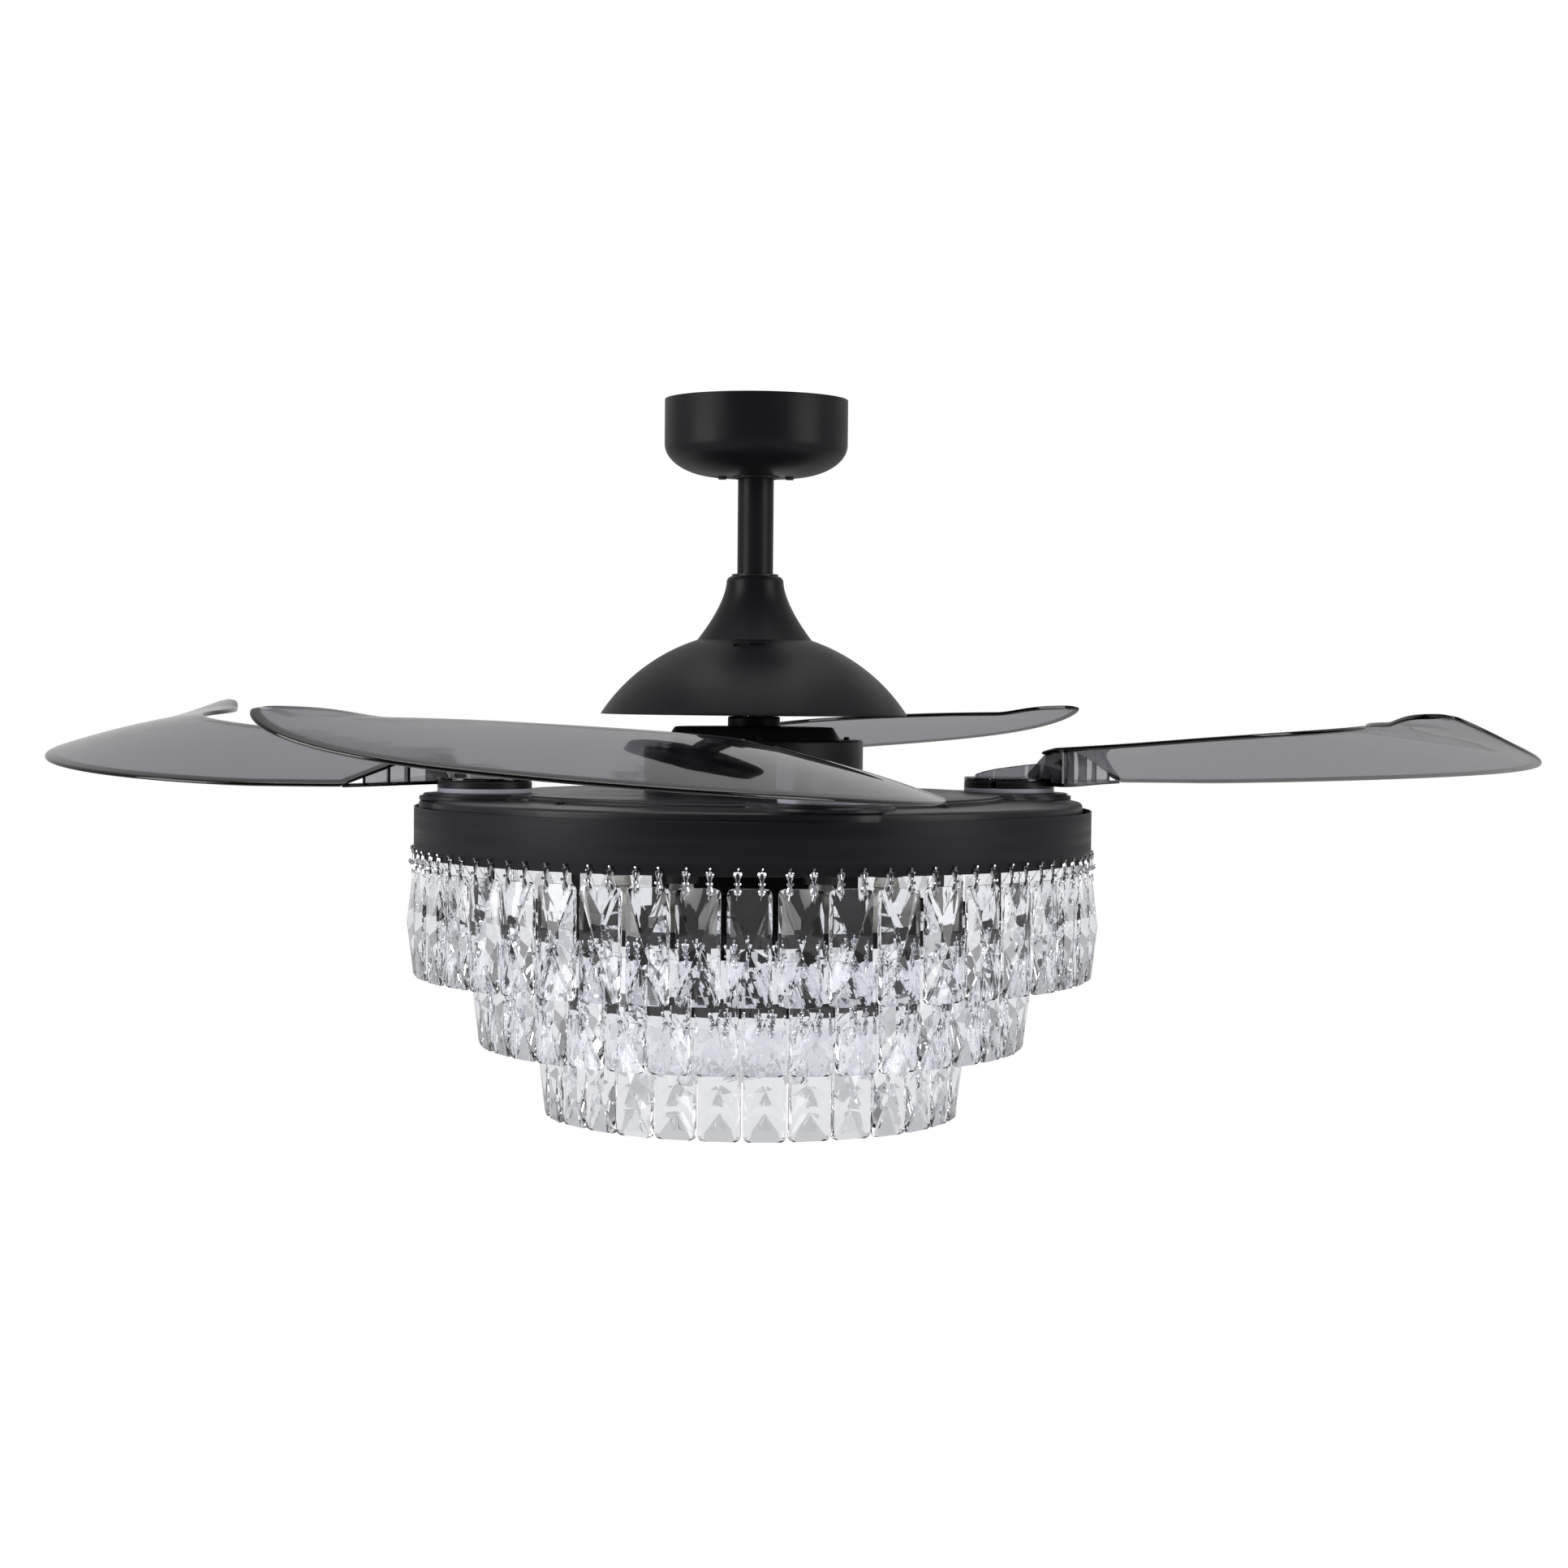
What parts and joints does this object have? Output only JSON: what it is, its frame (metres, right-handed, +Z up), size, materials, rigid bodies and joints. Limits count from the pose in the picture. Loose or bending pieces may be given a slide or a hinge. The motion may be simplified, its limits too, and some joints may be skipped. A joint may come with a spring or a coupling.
{
  "type": "retractable blade ceiling fan",
  "caption": "Ceiling fan on a short downrod: smoke-clear crescent blades fold back over a round drum when it stops, above a tiered crystal light kit.",
  "frame": {"origin": "centre of the hanger bracket's upper face, on the ceiling and on the fan axis", "axes": "+Z up along the fan axis, +X to the right seen from the front, -Y towards the front"},
  "size_m": [1.1872, 1.1872, 0.572],
  "materials": {
    "black_coat": "satin black powder coat",
    "black_alloy": "semi-gloss black enamel on alloy",
    "black_gloss": "semi-gloss black enamel",
    "black_trim": "satin moulded black",
    "zinc_steel": "zinc plated",
    "bright_steel": "turned",
    "white_nylon": "moulded nylon",
    "copper_winding": "enamelled copper wire",
    "lamp_glass": "frosted",
    "crystal_glass": "cut and polished",
    "chrome_clip": "bright chrome",
    "silver_washer": "satin",
    "smoke_blade": "smoke clear polycarbonate"
  },
  "bodies": {
    "root": {"ceiling_bracket": "zinc_steel", "canopy": "black_coat", "canopy_ring": "black_trim", "canopy_screws": "black_trim"},
    "hanger": {"hanger_ball": "white_nylon", "ball_cross_pin": "bright_steel", "downrod": "black_coat", "downrod_collar": "black_trim", "coupling_cover": "black_coat", "motor_coupling": "zinc_steel", "coupling_pin": "bright_steel", "motor_dome": "black_coat", "dome_screws": "bright_steel", "reverse_switch_body": "black_trim", "run_capacitor": "black_trim", "motor_shaft": "bright_steel", "stator_core": "zinc_steel", "stator_windings": "copper_winding", "shaft_nut": "bright_steel", "light_pan": "black_alloy", "drum_band": "black_coat", "ring_hangers": "black_coat", "ring_2": "black_coat", "ring_3": "black_coat", "light_hub": "black_coat", "lamp_holders": "black_coat", "lamps": "lamp_glass", "crystals_tier_1": "crystal_glass", "crystals_tier_2": "crystal_glass", "crystals_tier_3": "crystal_glass", "clips_tier_1": "chrome_clip", "clips_tier_2": "chrome_clip", "clips_tier_3": "chrome_clip"},
    "switch": {"reverse_switch_knob": "black_trim"},
    "rotor": {"rotor_can": "black_coat", "rotor_top_shell": "black_alloy", "can_screws": "black_coat", "rotor_ring": "zinc_steel", "upper_bearing": "bright_steel", "lower_bearing": "bright_steel", "blade_plate": "black_alloy", "plate_cover": "black_alloy", "plate_screws": "bright_steel", "pivot_washers": "silver_washer"},
    "sun": {"sun_gear": "white_nylon"},
    "blade_1": {"blade_1": "smoke_blade", "pivot_hub_1": "black_gloss", "pinion_1": "white_nylon"},
    "blade_2": {"blade_2": "smoke_blade", "pivot_hub_2": "black_gloss", "pinion_2": "white_nylon"},
    "blade_3": {"blade_3": "smoke_blade", "pivot_hub_3": "black_gloss", "pinion_3": "white_nylon"},
    "blade_4": {"blade_4": "smoke_blade", "pivot_hub_4": "black_gloss", "pinion_4": "white_nylon"}
  },
  "joints": [
    {"name": "hanger_swing", "type": "hinge", "parent": "root", "child": "hanger", "pos_m": [0, 0, -0.032], "axis": [1, 0, 0], "range_deg": [-3, 3]},
    {"name": "reverse_switch", "type": "slide", "parent": "hanger", "child": "switch", "axis": [1, 0, 0], "range_m": [0, 0.0075]},
    {"name": "rotor_spin", "type": "hinge", "parent": "hanger", "child": "rotor", "pos_m": [0, 0, -0.29], "axis": [0, 0, 1], "continuous": true},
    {"name": "blade_1_fold", "type": "hinge", "parent": "rotor", "child": "blade_1", "pos_m": [0.21047, 0.05679, -0.308], "axis": [0, 0, 1], "range_deg": [-110.5, 0]},
    {"name": "blade_2_fold", "type": "hinge", "parent": "rotor", "child": "blade_2", "pos_m": [-0.05679, 0.21047, -0.308], "axis": [0, 0, 1], "range_deg": [-110.5, 0]},
    {"name": "blade_3_fold", "type": "hinge", "parent": "rotor", "child": "blade_3", "pos_m": [-0.21047, -0.05679, -0.308], "axis": [0, 0, 1], "range_deg": [-110.5, 0]},
    {"name": "blade_4_fold", "type": "hinge", "parent": "rotor", "child": "blade_4", "pos_m": [0.05679, -0.21047, -0.308], "axis": [0, 0, 1], "range_deg": [-110.5, 0]},
    {"name": "sun_turn", "type": "hinge", "parent": "rotor", "child": "sun", "pos_m": [0, 0, -0.3265], "axis": [0, 0, 1], "range_deg": [0, 20.5]}
  ],
  "couplings": [
    {"joint": "blade_2_fold", "follows": "blade_1_fold", "ratio": 1},
    {"joint": "blade_3_fold", "follows": "blade_1_fold", "ratio": 1},
    {"joint": "blade_4_fold", "follows": "blade_1_fold", "ratio": 1},
    {"joint": "sun_turn", "follows": "blade_1_fold", "ratio": -0.18478}
  ]
}
